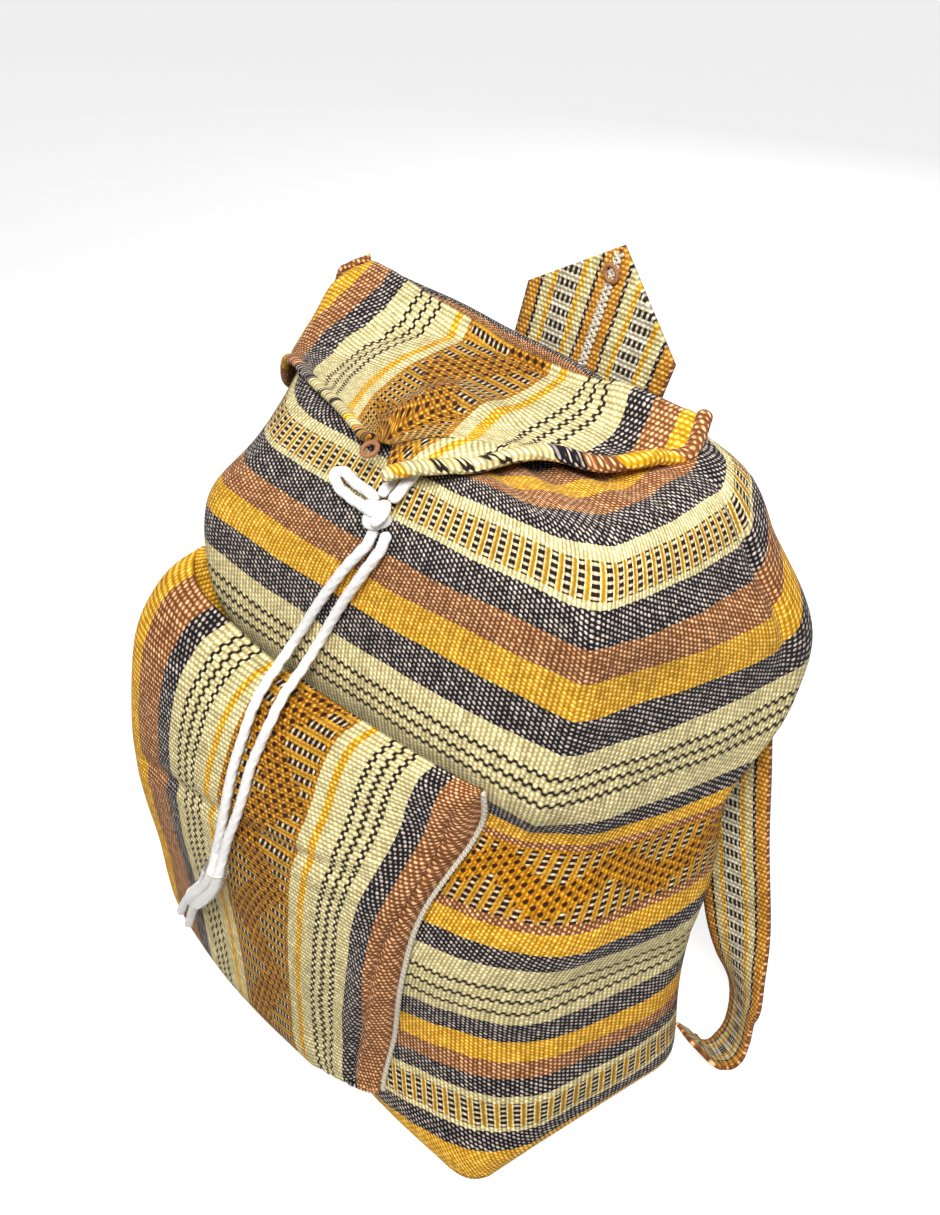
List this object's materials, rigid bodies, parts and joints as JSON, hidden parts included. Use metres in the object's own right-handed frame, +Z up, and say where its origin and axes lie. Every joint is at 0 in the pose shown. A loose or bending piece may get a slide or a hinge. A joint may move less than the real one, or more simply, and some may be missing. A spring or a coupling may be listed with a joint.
{
  "type": "woven drawstring backpack",
  "caption": "Soft hand-woven striped cotton backpack with a gathered mouth, pointed flap, front pocket, band straps and a knotted drawstring.",
  "frame": {"origin": "middle of the flat underside of the base panel", "axes": "+Z up through the mouth; the front, with its pocket, faces -Y; +X is to the right seen from the front"},
  "size_m": [0.366, 0.2539, 0.4492],
  "materials": {
    "striped_cloth": "matt woven cotton",
    "base_cloth": "matt woven cotton",
    "flap_cloth": "matt woven cotton",
    "pocket_cloth": "matt woven cotton",
    "strap_band": "matt woven cotton",
    "white_cord": "matt twisted thread",
    "clear_sleeve": "clear, slightly glossy",
    "thread": "matt twisted thread"
  },
  "bodies": {
    "root": {"body": "striped_cloth", "base_panel": "base_cloth", "flap": "flap_cloth", "front_pocket": "pocket_cloth", "strap_left": "strap_band", "strap_right": "strap_band", "drawstring": "white_cord", "drawstring_bow": "white_cord", "drawstring_tail_left": "white_cord", "drawstring_tail_right": "white_cord", "cord_end_sleeve": "clear_sleeve", "drawstring_knot": "white_cord", "tab_eyelet": "thread", "flap_eyelet": "thread"}
  },
  "joints": []
}
